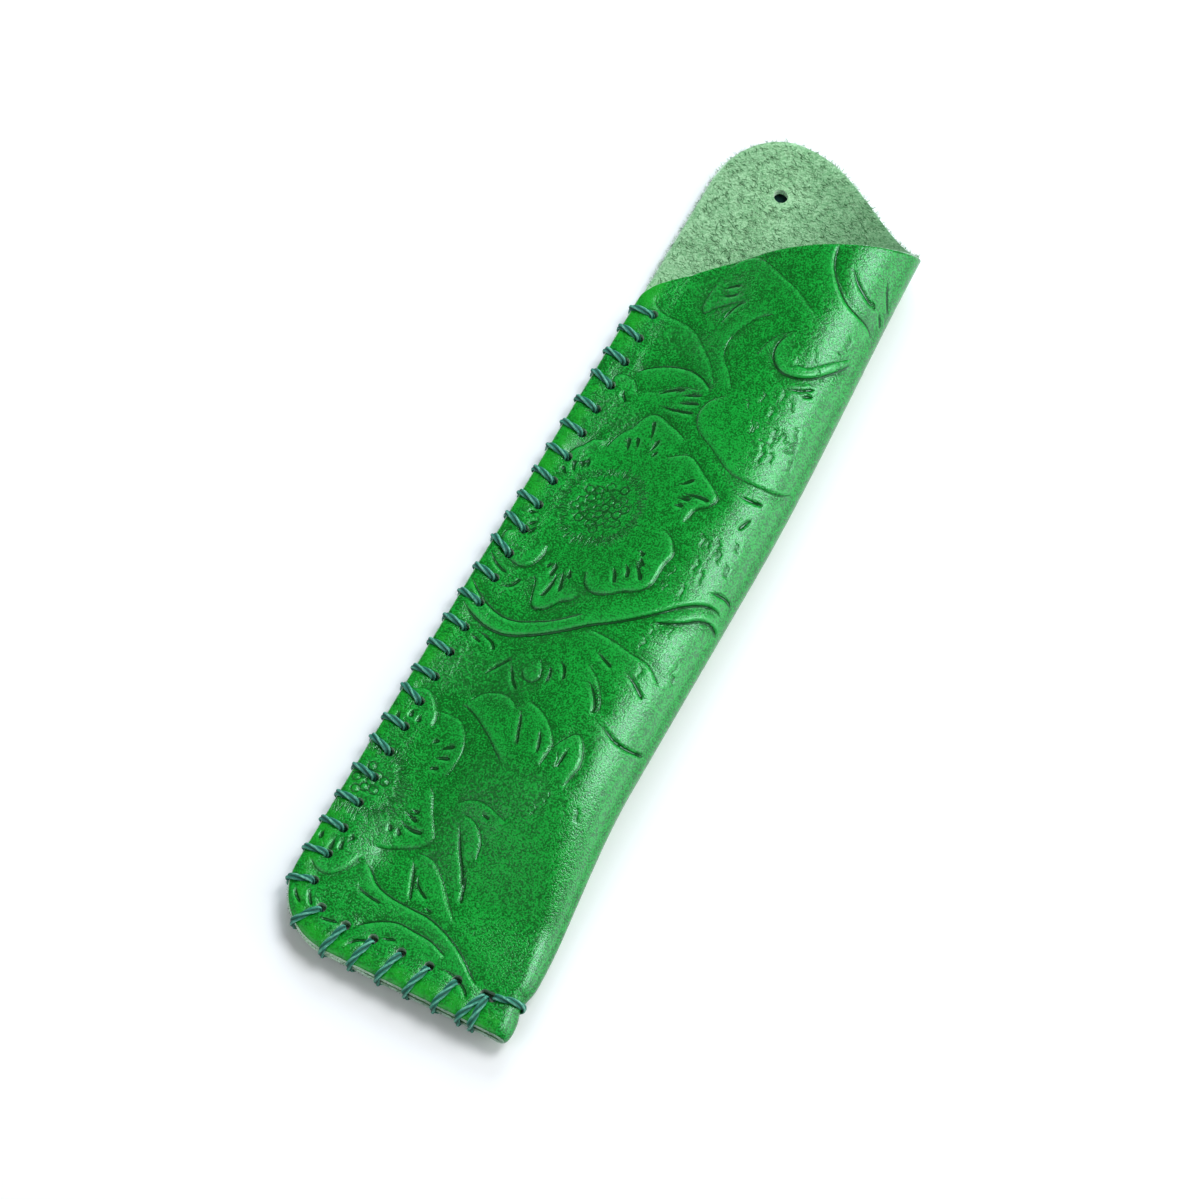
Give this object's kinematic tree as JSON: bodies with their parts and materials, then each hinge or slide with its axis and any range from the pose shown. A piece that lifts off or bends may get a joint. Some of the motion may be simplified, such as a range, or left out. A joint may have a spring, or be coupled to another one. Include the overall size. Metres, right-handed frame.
{
  "type": "leather pen case",
  "caption": "Slim pen case of folded leather with a soft roll, whip stitched down the side and along the foot, with a slanting open mouth and a tongue with a hang hole.",
  "frame": {"origin": "on the flat outer face of the back, at mid-length and half the foot's width", "axes": "+X from the stitched seam to the roll, +Y from the foot to the tongue, +Z from the back to the front"},
  "size_m": [0.0515, 0.1905, 0.0148],
  "materials": {
    "tooled_leather": "dyed green, burnished, satin grain side with a sage flesh side",
    "waxed_thread": "dark teal waxed thread"
  },
  "bodies": {
    "root": {"leather_body": "tooled_leather", "whip_stitch_thread": "waxed_thread", "fold_loop_thread": "waxed_thread"}
  },
  "joints": []
}
